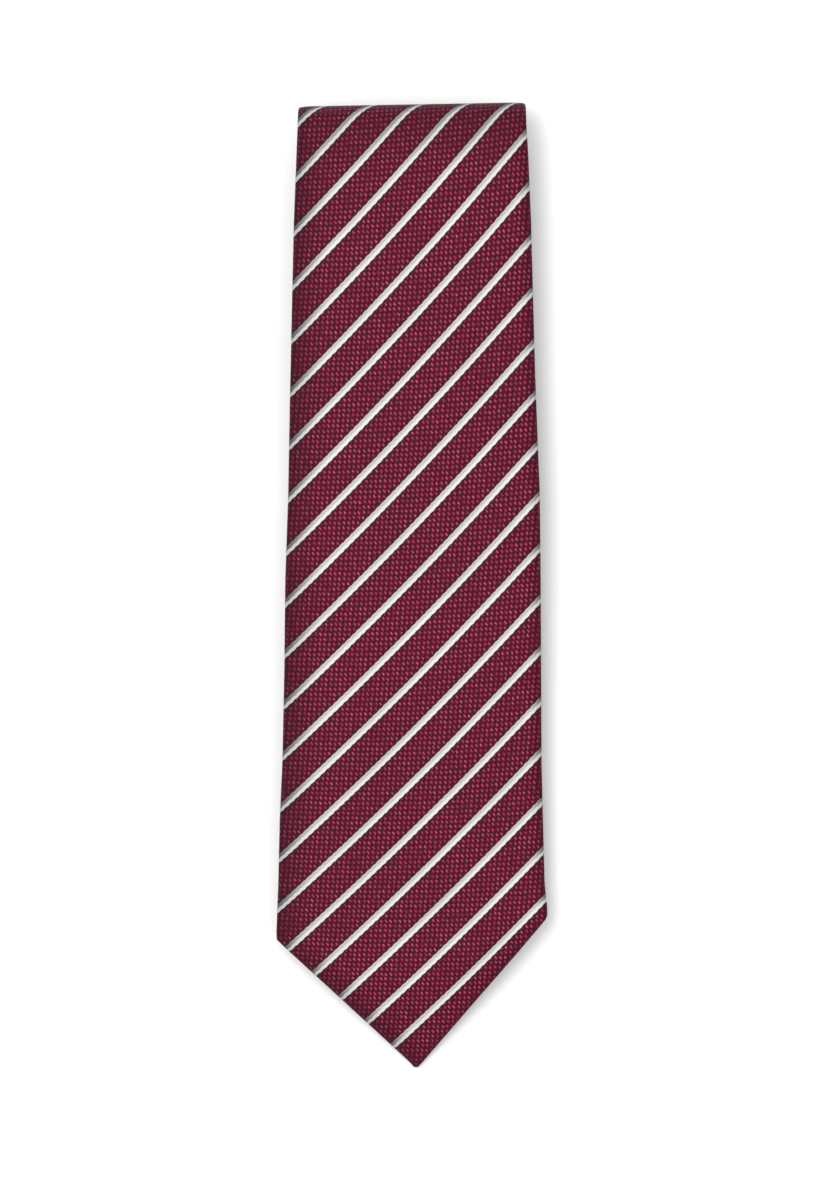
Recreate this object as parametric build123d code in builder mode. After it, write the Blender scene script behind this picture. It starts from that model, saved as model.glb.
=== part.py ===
"""Necktie folded flat for display: cloth, wool interlining, linings, loop, labels and stitches.

The tie is 1.48 m long. It lies folded in six leaves, one above the other. The wide blade
is the top leaf with its point at -Y, and its upper end rolls over softly at +Y to go below.
Lengths are in millimetres, +Z is up, and the floor is Z = 0.
"""

import os
from math import atan2, cos, degrees, radians, sin, tan

from build123d import *

os.makedirs("parts", exist_ok=True)

# Layers of the tie, as depths behind its front side
CLOTH = 0.35
WOOL = 0.9
WOOL_BACK = CLOTH + WOOL
FLAP_BACK = WOOL_BACK + CLOTH
LAP_FRONT = FLAP_BACK + 0.05
LAP_BACK = LAP_FRONT + CLOTH
TIPPING = 0.2
THREAD = 0.3

# The back seam: the right flap laps over the left one
LAP_LEFT = -4.0
LAP_RIGHT = 4.0
LAP_SLIT = 0.3

# How the leaves are stacked
GAP = 0.3
PITCH = LAP_BACK + GAP
ROLL_RADIUS = 7.0
ROLL_GAP = 0.6

# Overall size of the visible blade
BLADE_WIDTH = 80.0
BLADE_LENGTH = 285.0
ROLL_END_Y = BLADE_LENGTH / 2
TIP_Y = -BLADE_LENGTH / 2
TIP_X = 1.2
TOP_HALF = 0.417 * BLADE_WIDTH
LEFT_SHOULDER_Y = TIP_Y + 38.2
RIGHT_SHOULDER_Y = TIP_Y + 44.7

# Where the folds turn, as the Y of each fold's centre
ROLL_Y = ROLL_END_Y - ROLL_RADIUS
SECOND_FOLD_Y = TIP_Y + 34.5
THIRD_FOLD_Y = ROLL_END_Y - 6.5
FOURTH_FOLD_Y = TIP_Y + 36.5
FIFTH_FOLD_Y = ROLL_END_Y - 10.5

# Half widths of the tie along its hidden length
SECOND_FOLD_HALF = 0.33 * BLADE_WIDTH
THIRD_FOLD_HALF = 0.246 * BLADE_WIDTH
NECK_HALF = 0.219 * BLADE_WIDTH
FIFTH_FOLD_HALF = 0.241 * BLADE_WIDTH
TAIL_HALF = 0.2625 * BLADE_WIDTH
NECK_STARTS_Y = ROLL_END_Y - 81.5
NECK_ENDS_Y = TIP_Y + 96.5
TAIL_TIP_Y = TIP_Y + 78.1
TAIL_SHOULDER_Y = TAIL_TIP_Y + TAIL_HALF

# Height of the underside of each hidden leaf
SECOND_BASE = 4 * PITCH
THIRD_BASE = 3 * PITCH
FOURTH_BASE = 2 * PITCH
FIFTH_BASE = PITCH
TAIL_BASE = 0.0

# The blade slopes down from the roll, then droops over the end of the pile
DROOP_Y = SECOND_FOLD_Y
DROOP_RADIUS = 45.0
DROOP_ANGLE = 19.0
DROOP_RISE = 0.7
ROLL_Z = SECOND_BASE + ROLL_RADIUS
ROLL_TOP = ROLL_Z + ROLL_RADIUS
DROOP_TOP = SECOND_BASE + LAP_BACK + DROOP_RISE + FLAP_BACK
BLADE_SLOPE = degrees(atan2(ROLL_TOP - DROOP_TOP, ROLL_Y - DROOP_Y))

# Room beyond the tie for shapes that are cut to size
BEYOND = 5.0
WIDE = 100.0
TALL = 60.0

# Diagonal seams and the joint in the wool
BLADE_SEAM_Y = THIRD_FOLD_Y - 32.0
TAIL_SEAM_Y = FOURTH_FOLD_Y + 110.0
WOOL_JOINT_Y = BLADE_SEAM_Y - 82.0
SEAM_ANGLE = 45.0
WOOL_ANGLE = 20.0

# The hemmed points: cloth turned in along the edge, lining behind
BLADE_HEM = 14.0
BLADE_OPENING = 85.0
TAIL_HEM = 8.0
TAIL_OPENING = 46.0
TUCK = 3.0

# The long edges of the blade swell slightly between the roll and the shoulders
UPPER_SWELL_Y = 0.1 * BLADE_LENGTH
LOWER_SWELL_Y = -0.18 * BLADE_LENGTH
UPPER_SWELL_RIGHT = 0.47 * BLADE_WIDTH
UPPER_SWELL_LEFT = 0.454 * BLADE_WIDTH
LOWER_SWELL = 0.478 * BLADE_WIDTH

# Back seam stitches
STITCH_STEP = 30.0
STITCH_LENGTH = 1.5
STITCH_MARGIN = 10.0

# Keeper loop, labels and bar tacks on the back of the blade
KEEPER_Y = ROLL_END_Y - 57.5
KEEPER_WIDTH = 10.0
KEEPER_CLOTH = 0.5
KEEPER_DROP = ROLL_RADIUS - 1.0
KEEPER_FOOT_IN = 22.0
KEEPER_FOOT_OUT = 29.0
KEEPER_BRIDGE = 17.0
KEEPER_BEND = 1.5
TACK_WIDTH = 1.0
TACK_INSET = 1.5
LABEL_Y = KEEPER_Y - 87.0
LABEL_LENGTH = 50.0
LABEL_WIDTH = 20.0
LABEL_CLOTH = 0.3
CARE_Y = KEEPER_Y - 30.0
CARE_LENGTH = 24.0
CARE_WIDTH = 22.0
CARE_CLOTH = 0.15
TACK_LENGTH = 10.0


def rows(stations):
    """Corners of a symmetric outline from its (y, half width) stations."""
    right = [(half, y) for y, half in stations]
    left = [(-half, y) for y, half in reversed(stations)]
    return right + left


def outline(corners, inset=0.0):
    """Flat outline through the corners, drawn smaller all round by the inset."""
    with BuildSketch(Plane.XY) as plan:
        with BuildLine():
            Polyline(*corners, close=True)
        make_face()
        if inset:
            offset(amount=-inset, kind=Kind.INTERSECTION)
    return plan.sketch


def seam_plane(seam_y, angle):
    """Plan plane whose X runs along a seam that crosses the tie at an angle."""
    along = (cos(radians(angle)), sin(radians(angle)), 0)
    return Plane(origin=(0, seam_y, 0), x_dir=along, z_dir=(0, 0, 1))


def beside_seam(solid, seam_y, angle, side):
    """The part of a solid on one side of a seam, half a thread away from it."""
    with BuildPart() as kept:
        add(solid)
        with BuildSketch(seam_plane(seam_y, angle)):
            with Locations((0, side * (THREAD + BLADE_LENGTH) / 2)):
                Rectangle(2 * BLADE_LENGTH, BLADE_LENGTH)
        extrude(amount=TALL, mode=Mode.INTERSECT)
    return kept.part


def along_seam(solid, seam_y, angle):
    """The narrow slice of a solid that a seam's thread and stitched edge take up."""
    with BuildPart() as kept:
        add(solid)
        with BuildSketch(seam_plane(seam_y, angle)):
            Rectangle(WIDE, THREAD)
        extrude(amount=TALL, mode=Mode.INTERSECT)
    return kept.part


def strip(left, right, low=-BLADE_LENGTH):
    """A long straight strip along the tie between two X values, from a low end upwards."""
    with BuildSketch(Plane.XY) as band:
        with Locations(((left + right) / 2, low)):
            Rectangle(right - left, 2 * BLADE_LENGTH, align=(Align.CENTER, Align.MIN))
    return band.sketch


def end_arc(centre_y, centre_z, level, end):
    """Quarter circle that bends one level of a leaf round a fold's centre."""
    starts = {(1, True): 0, (1, False): -90, (-1, True): 90, (-1, False): 180}
    start = starts[(end, centre_z < level)]
    CenterArc((centre_y, centre_z), abs(level - centre_z), start, 90)


def leaf_view(leaf, near, far):
    """Side view of one layer of a hidden leaf, between two depths behind its front side."""
    levels = [leaf["front"] + leaf["inward"] * depth for depth in (near, far)]
    with BuildSketch(Plane.YZ) as side_view:
        with BuildLine():
            for level in levels:
                Line((leaf["low"][0], level), (leaf["high"][0], level))
            for end, (centre_y, centre_z) in ((-1, leaf["low"]), (1, leaf["high"])):
                if centre_z is None:
                    Line((centre_y, levels[0]), (centre_y, levels[1]))
                    continue
                for level in levels:
                    end_arc(centre_y, centre_z, level, end)
                reach = [centre_y + end * abs(level - centre_z) for level in levels]
                Line((reach[0], centre_z), (reach[1], centre_z))
        make_face()
    return side_view.sketch


def make_leaf(base, face_up, low, high, top):
    """One hidden leaf: its front level, which way its back lies, and its two ends."""
    front = base + LAP_BACK if face_up else base
    inward = -1 if face_up else 1
    return {"front": front, "inward": inward, "low": low, "high": high, "room": (base, top)}


def blade_points(depth):
    """Corners and centres of the blade's side view at one depth behind its front side."""
    slope, droop = radians(BLADE_SLOPE), radians(DROOP_ANGLE)
    up_slope, up_droop = Vector(-sin(slope), cos(slope)), Vector(-sin(droop), cos(droop))
    roll_end = Vector(ROLL_Y, ROLL_Z) + up_slope * ROLL_RADIUS
    run = (roll_end.X - DROOP_Y) / cos(slope)
    droop_start = roll_end - Vector(cos(slope), sin(slope)) * run
    droop_centre = droop_start - up_slope * DROOP_RADIUS
    droop_end = droop_centre + up_droop * (DROOP_RADIUS - depth)
    run_out = (droop_end.X - TIP_Y + BEYOND) / cos(droop)
    tip = droop_end - Vector(cos(droop), sin(droop)) * run_out
    return roll_end - up_slope * depth, droop_start - up_slope * depth, droop_centre, droop_end, tip


def blade_view(leaf, near, far):
    """Side view of one layer of the blade, from just above the middle of the roll to the point."""
    with BuildSketch(Plane.YZ) as side_view:
        with BuildLine():
            for depth in (near, far):
                roll_end, droop_start, droop_centre, droop_end, tip = blade_points(depth)
                CenterArc((ROLL_Y, ROLL_Z), ROLL_RADIUS - depth, 0, 90 + BLADE_SLOPE)
                Line(roll_end, droop_start)
                droop_turn = DROOP_ANGLE - BLADE_SLOPE
                CenterArc(droop_centre, DROOP_RADIUS - depth, 90 + BLADE_SLOPE, droop_turn)
                Line(droop_end, tip)
            Line((ROLL_END_Y - near, ROLL_Z), (ROLL_END_Y - far, ROLL_Z))
            Line(blade_points(near)[-1], blade_points(far)[-1])
        make_face()
        with Locations((ROLL_Y, ROLL_Z)):
            Rectangle(WIDE, ROLL_GAP, align=(Align.MIN, Align.CENTER), mode=Mode.SUBTRACT)
    return side_view.sketch


def layer(leaf, near, far, plan):
    """Solid layer of a leaf between two depths, with the given plan."""
    low, high = leaf["room"]
    side_view = leaf.get("view", leaf_view)(leaf, near, far)
    with BuildPart() as solid:
        extrude(side_view, amount=WIDE, both=True)
        extrude(Plane.XY.offset(low) * plan, amount=high - low, mode=Mode.INTERSECT)
    return solid.part


def folded_cloth(leaf, plan, inner_plan, lap_low=-BLADE_LENGTH):
    """Cloth folded round the wool: front, two edges, left flap and the right flap over it."""
    with BuildPart() as cloth:
        add(layer(leaf, 0, FLAP_BACK, plan))
        add(layer(leaf, CLOTH, WOOL_BACK, inner_plan), mode=Mode.SUBTRACT)
        slit = strip(LAP_RIGHT - LAP_SLIT, LAP_RIGHT, lap_low)
        add(layer(leaf, WOOL_BACK, FLAP_BACK, slit), mode=Mode.SUBTRACT)
        lap = plan & strip(LAP_LEFT, LAP_RIGHT + CLOTH, lap_low)
        add(layer(leaf, LAP_FRONT, LAP_BACK, lap))
        step = plan & strip(LAP_RIGHT, LAP_RIGHT + CLOTH, lap_low)
        add(layer(leaf, FLAP_BACK, LAP_FRONT, step))
    return cloth.part


def stitch_row(leaf, first_y, last_y):
    """Short slip stitches beside the edge of the lap, evenly spaced."""
    count = int((last_y - first_y) // STITCH_STEP) + 1
    with BuildSketch(Plane.XY) as stitches:
        for number in range(count):
            with Locations((LAP_LEFT - THREAD / 2, first_y + number * STITCH_STEP)):
                Rectangle(THREAD, STITCH_LENGTH)
    return layer(leaf, FLAP_BACK, FLAP_BACK + THREAD, stitches.sketch)


def bar_tack(leaf, lap_low):
    """Short bar of thread from flap to flap, just below the lower end of the lap."""
    with BuildSketch(Plane.XY) as tack:
        with Locations((0, lap_low)):
            Rectangle(TACK_LENGTH, TACK_WIDTH, align=(Align.CENTER, Align.MAX))
    return layer(leaf, FLAP_BACK, FLAP_BACK + THREAD, tack.sketch)


def point_opening(tip, hem, opening, shoulders, grow=0.0):
    """Diamond behind a point where the lining shows, grown all round where it is tucked in."""
    left, right = shoulders
    corners = [
        (tip[0], tip[1] + hem / cos(radians(SEAM_ANGLE))),
        (right[0] - hem, right[1] + hem / 2),
        (tip[0], tip[1] + opening),
        (left[0] + hem, left[1] + hem / 2),
    ]
    return outline(corners, -grow)


def save(part, name):
    """Name a finished sub-part and write its STEP file."""
    part.label = name
    export_step(part, "parts/" + name + ".step")


# ---- The six leaves: where each lies and how its ends bend ----

SECOND_FOLD_Z = SECOND_BASE - GAP / 2
THIRD_FOLD_Z = THIRD_BASE - GAP / 2
FOURTH_FOLD_Z = FOURTH_BASE - GAP / 2
FIFTH_FOLD_Z = FIFTH_BASE - GAP / 2

blade_leaf = {"view": blade_view, "room": (0.0, TALL)}
second_leaf = make_leaf(
    SECOND_BASE, False, (SECOND_FOLD_Y, SECOND_FOLD_Z), (ROLL_Y, ROLL_Z), ROLL_Z - ROLL_GAP / 2
)
third_leaf = make_leaf(
    THIRD_BASE, True, (SECOND_FOLD_Y, SECOND_FOLD_Z), (THIRD_FOLD_Y, THIRD_FOLD_Z), SECOND_BASE - GAP
)
fourth_leaf = make_leaf(
    FOURTH_BASE, False, (FOURTH_FOLD_Y, FOURTH_FOLD_Z), (THIRD_FOLD_Y, THIRD_FOLD_Z), THIRD_BASE - GAP
)
fifth_leaf = make_leaf(
    FIFTH_BASE, True, (FOURTH_FOLD_Y, FOURTH_FOLD_Z), (FIFTH_FOLD_Y, FIFTH_FOLD_Z), FOURTH_BASE - GAP
)
tail_leaf = make_leaf(
    TAIL_BASE, False, (TAIL_TIP_Y - BEYOND, None), (FIFTH_FOLD_Y, FIFTH_FOLD_Z), FIFTH_BASE - GAP
)

# ---- Blade, the top leaf: cloth, wool and tipping lining ----

blade_corners = [
    (TOP_HALF, ROLL_END_Y + BEYOND),
    (TOP_HALF, ROLL_END_Y),
    (UPPER_SWELL_RIGHT, UPPER_SWELL_Y),
    (LOWER_SWELL, LOWER_SWELL_Y),
    (BLADE_WIDTH / 2, RIGHT_SHOULDER_Y),
    (TIP_X, TIP_Y),
    (-BLADE_WIDTH / 2, LEFT_SHOULDER_Y),
    (-LOWER_SWELL, LOWER_SWELL_Y),
    (-UPPER_SWELL_LEFT, UPPER_SWELL_Y),
    (-TOP_HALF, ROLL_END_Y),
    (-TOP_HALF, ROLL_END_Y + BEYOND),
]
blade_plan = outline(blade_corners)
blade_inner = outline(blade_corners, CLOTH)
blade_tip = (TIP_X, TIP_Y)
blade_shoulders = ((-BLADE_WIDTH / 2, LEFT_SHOULDER_Y), (BLADE_WIDTH / 2, RIGHT_SHOULDER_Y))
blade_opening = point_opening(blade_tip, BLADE_HEM, BLADE_OPENING, blade_shoulders)
blade_lining = point_opening(blade_tip, BLADE_HEM, BLADE_OPENING, blade_shoulders, TUCK)
blade_lap_low = TIP_Y + BLADE_OPENING - TUCK

with BuildPart() as blade_shell_front:
    add(folded_cloth(blade_leaf, blade_plan, blade_inner, blade_lap_low))
    add(layer(blade_leaf, WOOL_BACK, LAP_BACK, blade_opening), mode=Mode.SUBTRACT)
save(blade_shell_front.part, "blade_shell_front")

with BuildPart() as blade_tipping:
    add(layer(blade_leaf, WOOL_BACK - TIPPING, WOOL_BACK, blade_lining))
save(blade_tipping.part, "blade_tipping")

with BuildPart() as blade_interlining_front:
    add(layer(blade_leaf, CLOTH, WOOL_BACK, blade_inner))
    add(blade_tipping.part, mode=Mode.SUBTRACT)
save(blade_interlining_front.part, "blade_interlining_front")

with BuildPart() as slip_stitch_front:
    add(stitch_row(blade_leaf, blade_lap_low + STITCH_MARGIN, ROLL_Y - STITCH_MARGIN))
save(slip_stitch_front.part, "slip_stitch_front")

save(bar_tack(blade_leaf, blade_lap_low), "blade_bar_tack")

# ---- What is sewn on the back of the blade: keeper loop and labels ----

slope_end = blade_points(0)[0]
face_height = slope_end.Y - slope_end.X * tan(radians(BLADE_SLOPE))
slope_out = Vector(0, -sin(radians(BLADE_SLOPE)), cos(radians(BLADE_SLOPE)))
slope_down = Vector(0, -cos(radians(BLADE_SLOPE)), -sin(radians(BLADE_SLOPE)))
blade_face = Plane(origin=(0, 0, face_height), x_dir=(1, 0, 0), z_dir=slope_out)
keeper_origin = Vector(0, 0, face_height) - slope_down * KEEPER_Y
keeper_side = Plane(origin=keeper_origin, x_dir=(1, 0, 0), z_dir=slope_down)

foot_depth = FLAP_BACK + KEEPER_CLOTH / 2
bridge_depth = foot_depth + KEEPER_DROP
keeper_line = [
    (-KEEPER_FOOT_OUT, -foot_depth),
    (-KEEPER_FOOT_IN, -foot_depth),
    (-KEEPER_BRIDGE, -bridge_depth),
    (KEEPER_BRIDGE, -bridge_depth),
    (KEEPER_FOOT_IN, -foot_depth),
    (KEEPER_FOOT_OUT, -foot_depth),
]
with BuildPart() as keeper_loop:
    with BuildSketch(keeper_side):
        with BuildLine():
            FilletPolyline(*keeper_line, radius=KEEPER_BEND)
        trace(line_width=KEEPER_CLOTH)
    extrude(amount=KEEPER_WIDTH / 2, both=True)
save(keeper_loop.part, "keeper_loop")

keeper_back = FLAP_BACK + KEEPER_CLOTH
tack_x = (KEEPER_FOOT_IN + KEEPER_FOOT_OUT) / 2
with BuildPart() as keeper_tacks:
    with BuildSketch(blade_face.offset(-keeper_back - THREAD)):
        with Locations((-tack_x, KEEPER_Y), (tack_x, KEEPER_Y)):
            Rectangle(TACK_WIDTH, KEEPER_WIDTH - 2 * TACK_INSET)
    extrude(amount=THREAD)
save(keeper_tacks.part, "keeper_tacks")

with BuildPart() as woven_label:
    with BuildSketch(blade_face.offset(-LAP_BACK - LABEL_CLOTH)):
        with Locations((0, LABEL_Y)):
            Rectangle(LABEL_LENGTH, LABEL_WIDTH)
    extrude(amount=LABEL_CLOTH)
save(woven_label.part, "woven_label")

label_end = (LABEL_LENGTH + THREAD) / 2
with BuildPart() as label_stitches:
    with BuildSketch(blade_face.offset(-LAP_BACK - LABEL_CLOTH)):
        with Locations((-label_end, LABEL_Y), (label_end, LABEL_Y)):
            Rectangle(THREAD, LABEL_WIDTH)
    extrude(amount=LAP_BACK + LABEL_CLOTH - FLAP_BACK)
save(label_stitches.part, "label_stitches")

with BuildPart() as care_label:
    with BuildSketch(blade_face.offset(-FLAP_BACK - CARE_CLOTH)):
        with Locations((LAP_LEFT, CARE_Y)):
            Rectangle(CARE_WIDTH, CARE_LENGTH, align=(Align.MAX, Align.CENTER))
    extrude(amount=CARE_CLOTH)
save(care_label.part, "care_label")

# ---- Second and third leaves: the blade cloth narrows towards the neck ----

second_corners = rows([(ROLL_END_Y, TOP_HALF), (SECOND_FOLD_Y - BEYOND, SECOND_FOLD_HALF)])
third_corners = rows([(THIRD_FOLD_Y + BEYOND, THIRD_FOLD_HALF), (SECOND_FOLD_Y - BEYOND, SECOND_FOLD_HALF)])

for word, leaf, corners in (("second", second_leaf, second_corners), ("third", third_leaf, third_corners)):
    plan = outline(corners)
    inner = outline(corners, CLOTH)
    save(folded_cloth(leaf, plan, inner), "blade_shell_" + word)
    save(layer(leaf, CLOTH, WOOL_BACK, inner), "blade_interlining_" + word)
    row = stitch_row(leaf, SECOND_FOLD_Y + STITCH_MARGIN, THIRD_FOLD_Y - STITCH_MARGIN)
    save(row, "slip_stitch_" + word)

# ---- Fourth leaf: the blade cloth meets the neck cloth ----

fourth_corners = rows([
    (THIRD_FOLD_Y + BEYOND, THIRD_FOLD_HALF),
    (NECK_STARTS_Y, NECK_HALF),
    (FOURTH_FOLD_Y - BEYOND, NECK_HALF),
])
fourth_plan = outline(fourth_corners)
fourth_inner = outline(fourth_corners, CLOTH)
fourth_cloth = folded_cloth(fourth_leaf, fourth_plan, fourth_inner)
save(beside_seam(fourth_cloth, BLADE_SEAM_Y, SEAM_ANGLE, 1), "blade_shell_fourth")
save(along_seam(fourth_cloth, BLADE_SEAM_Y, SEAM_ANGLE), "blade_neck_seam")
save(beside_seam(fourth_cloth, BLADE_SEAM_Y, SEAM_ANGLE, -1), "neck_shell_fourth")

fourth_wool = layer(fourth_leaf, CLOTH, WOOL_BACK, fourth_inner)
save(beside_seam(fourth_wool, WOOL_JOINT_Y, WOOL_ANGLE, 1), "blade_interlining_fourth")
save(along_seam(fourth_wool, WOOL_JOINT_Y, WOOL_ANGLE), "interlining_joint_stitch")
save(beside_seam(fourth_wool, WOOL_JOINT_Y, WOOL_ANGLE, -1), "tail_interlining_fourth")
save(
    stitch_row(fourth_leaf, FOURTH_FOLD_Y + STITCH_MARGIN, BLADE_SEAM_Y - STITCH_MARGIN),
    "slip_stitch_fourth",
)

# ---- Fifth leaf: the neck cloth meets the tail cloth ----

fifth_corners = rows([
    (FIFTH_FOLD_Y + BEYOND, FIFTH_FOLD_HALF),
    (NECK_ENDS_Y, NECK_HALF),
    (FOURTH_FOLD_Y - BEYOND, NECK_HALF),
])
fifth_plan = outline(fifth_corners)
fifth_inner = outline(fifth_corners, CLOTH)
fifth_cloth = folded_cloth(fifth_leaf, fifth_plan, fifth_inner)
save(beside_seam(fifth_cloth, TAIL_SEAM_Y, SEAM_ANGLE, -1), "neck_shell_fifth")
save(along_seam(fifth_cloth, TAIL_SEAM_Y, SEAM_ANGLE), "neck_tail_seam")
save(beside_seam(fifth_cloth, TAIL_SEAM_Y, SEAM_ANGLE, 1), "tail_shell_fifth")
save(layer(fifth_leaf, CLOTH, WOOL_BACK, fifth_inner), "tail_interlining_fifth")
save(
    stitch_row(fifth_leaf, TAIL_SEAM_Y + STITCH_MARGIN, FIFTH_FOLD_Y - STITCH_MARGIN),
    "slip_stitch_fifth",
)

# ---- Tail, the bottom leaf: it lies face down on the floor and ends in the narrow point ----

tail_corners = [
    (FIFTH_FOLD_HALF, FIFTH_FOLD_Y + BEYOND),
    (TAIL_HALF, TAIL_SHOULDER_Y),
    (0, TAIL_TIP_Y),
    (-TAIL_HALF, TAIL_SHOULDER_Y),
    (-FIFTH_FOLD_HALF, FIFTH_FOLD_Y + BEYOND),
]
tail_plan = outline(tail_corners)
tail_inner = outline(tail_corners, CLOTH)
tail_shoulders = ((-TAIL_HALF, TAIL_SHOULDER_Y), (TAIL_HALF, TAIL_SHOULDER_Y))
tail_opening = point_opening((0, TAIL_TIP_Y), TAIL_HEM, TAIL_OPENING, tail_shoulders)
tail_lining = point_opening((0, TAIL_TIP_Y), TAIL_HEM, TAIL_OPENING, tail_shoulders, TUCK)
tail_lap_low = TAIL_TIP_Y + TAIL_OPENING - TUCK

with BuildPart() as tail_shell_end:
    add(folded_cloth(tail_leaf, tail_plan, tail_inner, tail_lap_low))
    add(layer(tail_leaf, WOOL_BACK, LAP_BACK, tail_opening), mode=Mode.SUBTRACT)
save(tail_shell_end.part, "tail_shell_end")

tail_tipping = layer(tail_leaf, WOOL_BACK - TIPPING, WOOL_BACK, tail_lining)
save(tail_tipping, "tail_tipping")

with BuildPart() as tail_interlining_end:
    add(layer(tail_leaf, CLOTH, WOOL_BACK, tail_inner))
    add(tail_tipping, mode=Mode.SUBTRACT)
save(tail_interlining_end.part, "tail_interlining_end")

save(bar_tack(tail_leaf, tail_lap_low), "tail_bar_tack")
save(
    stitch_row(tail_leaf, tail_lap_low + STITCH_MARGIN, FIFTH_FOLD_Y - STITCH_MARGIN),
    "slip_stitch_end",
)
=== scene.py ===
"""A burgundy silver-striped necktie, folded for display, on a pale floor.

Millimetres are used for the tie's own sizes and turned into metres where a mesh is made.
X runs across the tie, Y along it with the wide point at -Y, and Z up from the floor.
"""

import math

import bmesh
import bpy
from mathutils import Matrix, Vector, noise


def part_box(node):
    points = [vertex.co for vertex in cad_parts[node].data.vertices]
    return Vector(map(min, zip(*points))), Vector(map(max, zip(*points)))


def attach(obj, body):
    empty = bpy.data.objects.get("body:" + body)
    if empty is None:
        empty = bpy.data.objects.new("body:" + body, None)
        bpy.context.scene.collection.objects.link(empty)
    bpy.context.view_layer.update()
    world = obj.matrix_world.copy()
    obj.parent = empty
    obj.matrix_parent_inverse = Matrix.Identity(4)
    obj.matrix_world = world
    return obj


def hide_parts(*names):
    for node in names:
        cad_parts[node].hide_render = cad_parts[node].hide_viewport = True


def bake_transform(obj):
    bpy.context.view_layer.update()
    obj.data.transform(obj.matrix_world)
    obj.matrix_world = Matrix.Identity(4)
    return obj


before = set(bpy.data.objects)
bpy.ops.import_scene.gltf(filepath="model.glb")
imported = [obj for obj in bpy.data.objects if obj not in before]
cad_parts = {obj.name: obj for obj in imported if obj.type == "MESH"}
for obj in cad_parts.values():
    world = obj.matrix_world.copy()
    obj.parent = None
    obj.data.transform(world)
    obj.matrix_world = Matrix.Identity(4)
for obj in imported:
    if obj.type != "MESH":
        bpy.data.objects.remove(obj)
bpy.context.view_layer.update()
MM = 0.001


# ---- Camera, floor and lights ----
# The tie is seen from straight above, a long way up, so its outline is nearly free of
# perspective. Soft light comes from the upper left and leaves a soft shade on the right.

EYE_HEIGHT = 2.432
EYE_RIGHT = 0.0006
EYE_UP = -0.0003
LENS = 250
FLOOR_HALF = 3
PAPER_COLOUR = (0.875, 0.875, 0.875, 1)
SKY_STRENGTH = 0.78
camera_data = bpy.data.cameras.new("eye")
camera_data.lens = LENS
camera_data.clip_end = 20
camera = bpy.data.objects.new("eye", camera_data)
camera.location = (EYE_RIGHT, EYE_UP, EYE_HEIGHT)
bpy.context.scene.collection.objects.link(camera)
bpy.context.scene.camera = camera

floor_mesh = bmesh.new()
bmesh.ops.create_grid(floor_mesh, x_segments=1, y_segments=1, size=FLOOR_HALF)
floor_data = bpy.data.meshes.new("floor")
floor_mesh.to_mesh(floor_data)
floor_mesh.free()
floor = bpy.data.objects.new("floor", floor_data)
bpy.context.scene.collection.objects.link(floor)
paper = bpy.data.materials.new("white_paper")
paper.use_nodes = True
paper_shader = paper.node_tree.nodes["Principled BSDF"]
paper_shader.inputs["Base Color"].default_value = PAPER_COLOUR
paper_shader.inputs["Roughness"].default_value = 0.9
floor_data.materials.append(paper)


def soft_light(name, place, size, power):
    """Square area light that looks at the middle of the tie."""
    data = bpy.data.lights.new(name, "AREA")
    data.size = size
    data.energy = power
    light = bpy.data.objects.new(name, data)
    light.location = place
    light.rotation_euler = (-Vector(place)).to_track_quat("-Z", "Y").to_euler()
    bpy.context.scene.collection.objects.link(light)


soft_light("key", (-0.38, 0.28, 1.6), 0.7, 12.5)
soft_light("fill", (0.05, 0.0, 1.9), 1.8, 14)
sky = bpy.data.worlds.new("sky")
sky.use_nodes = True
sky_light = sky.node_tree.nodes["Background"]
sky_light.inputs["Color"].default_value = (1, 1, 1, 1)
sky_light.inputs["Strength"].default_value = SKY_STRENGTH
bpy.context.scene.world = sky
bpy.context.scene.view_settings.view_transform = "Standard"


# ---- The course of the tie through its folds ----
# One strip of tie runs from the wide point, over the roll at the top end, and back and forth
# through five leaves to the narrow point. All pieces below are laid along this course.

# A leaf is the tie's whole thickness. A fold's outer radius also holds half the gap between leaves.
LEAF_THICK = 2.0
FOLD_OUTER = 2.15
FOLD_INNER = FOLD_OUTER - LEAF_THICK
ROLL_RADIUS = 7.0
DROOP_ANGLE = 19.0
DROOP_RADIUS = 45.0
DROOP_TOP = 13.5


def millimetres(node, corner, axis):
    """One coordinate of the box round a solid part. Corner 0 is the low one, axis 1 is along Y."""
    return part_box(node)[corner][axis] / MM


tip_y = millimetres("blade_shell_front", 0, 1)
roll_y = -tip_y - ROLL_RADIUS
second_level = millimetres("blade_shell_second", 0, 2)
lower_fold_y = millimetres("blade_shell_third", 0, 1) + FOLD_OUTER
upper_fold_y = millimetres("blade_shell_third", 1, 1) - FOLD_OUTER
neck_fold_y = millimetres("neck_shell_fifth", 0, 1) + FOLD_OUTER
tail_fold_y = millimetres("tail_shell_end", 1, 1) - FOLD_OUTER
tail_tip_y = millimetres("tail_shell_end", 0, 1)
slope = math.degrees(math.atan2(second_level + 2 * ROLL_RADIUS - DROOP_TOP, roll_y - lower_fold_y))
droop_end_y = lower_fold_y - DROOP_RADIUS * (
    math.sin(math.radians(DROOP_ANGLE)) - math.sin(math.radians(slope))
)
droop_end_z = DROOP_TOP - DROOP_RADIUS * (
    math.cos(math.radians(slope)) - math.cos(math.radians(DROOP_ANGLE))
)
point_run = (droop_end_y - tip_y) / math.cos(math.radians(DROOP_ANGLE))
slope_run = (roll_y - lower_fold_y) / math.cos(math.radians(slope))
tip_z = droop_end_z - point_run * math.sin(math.radians(DROOP_ANGLE))

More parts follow.
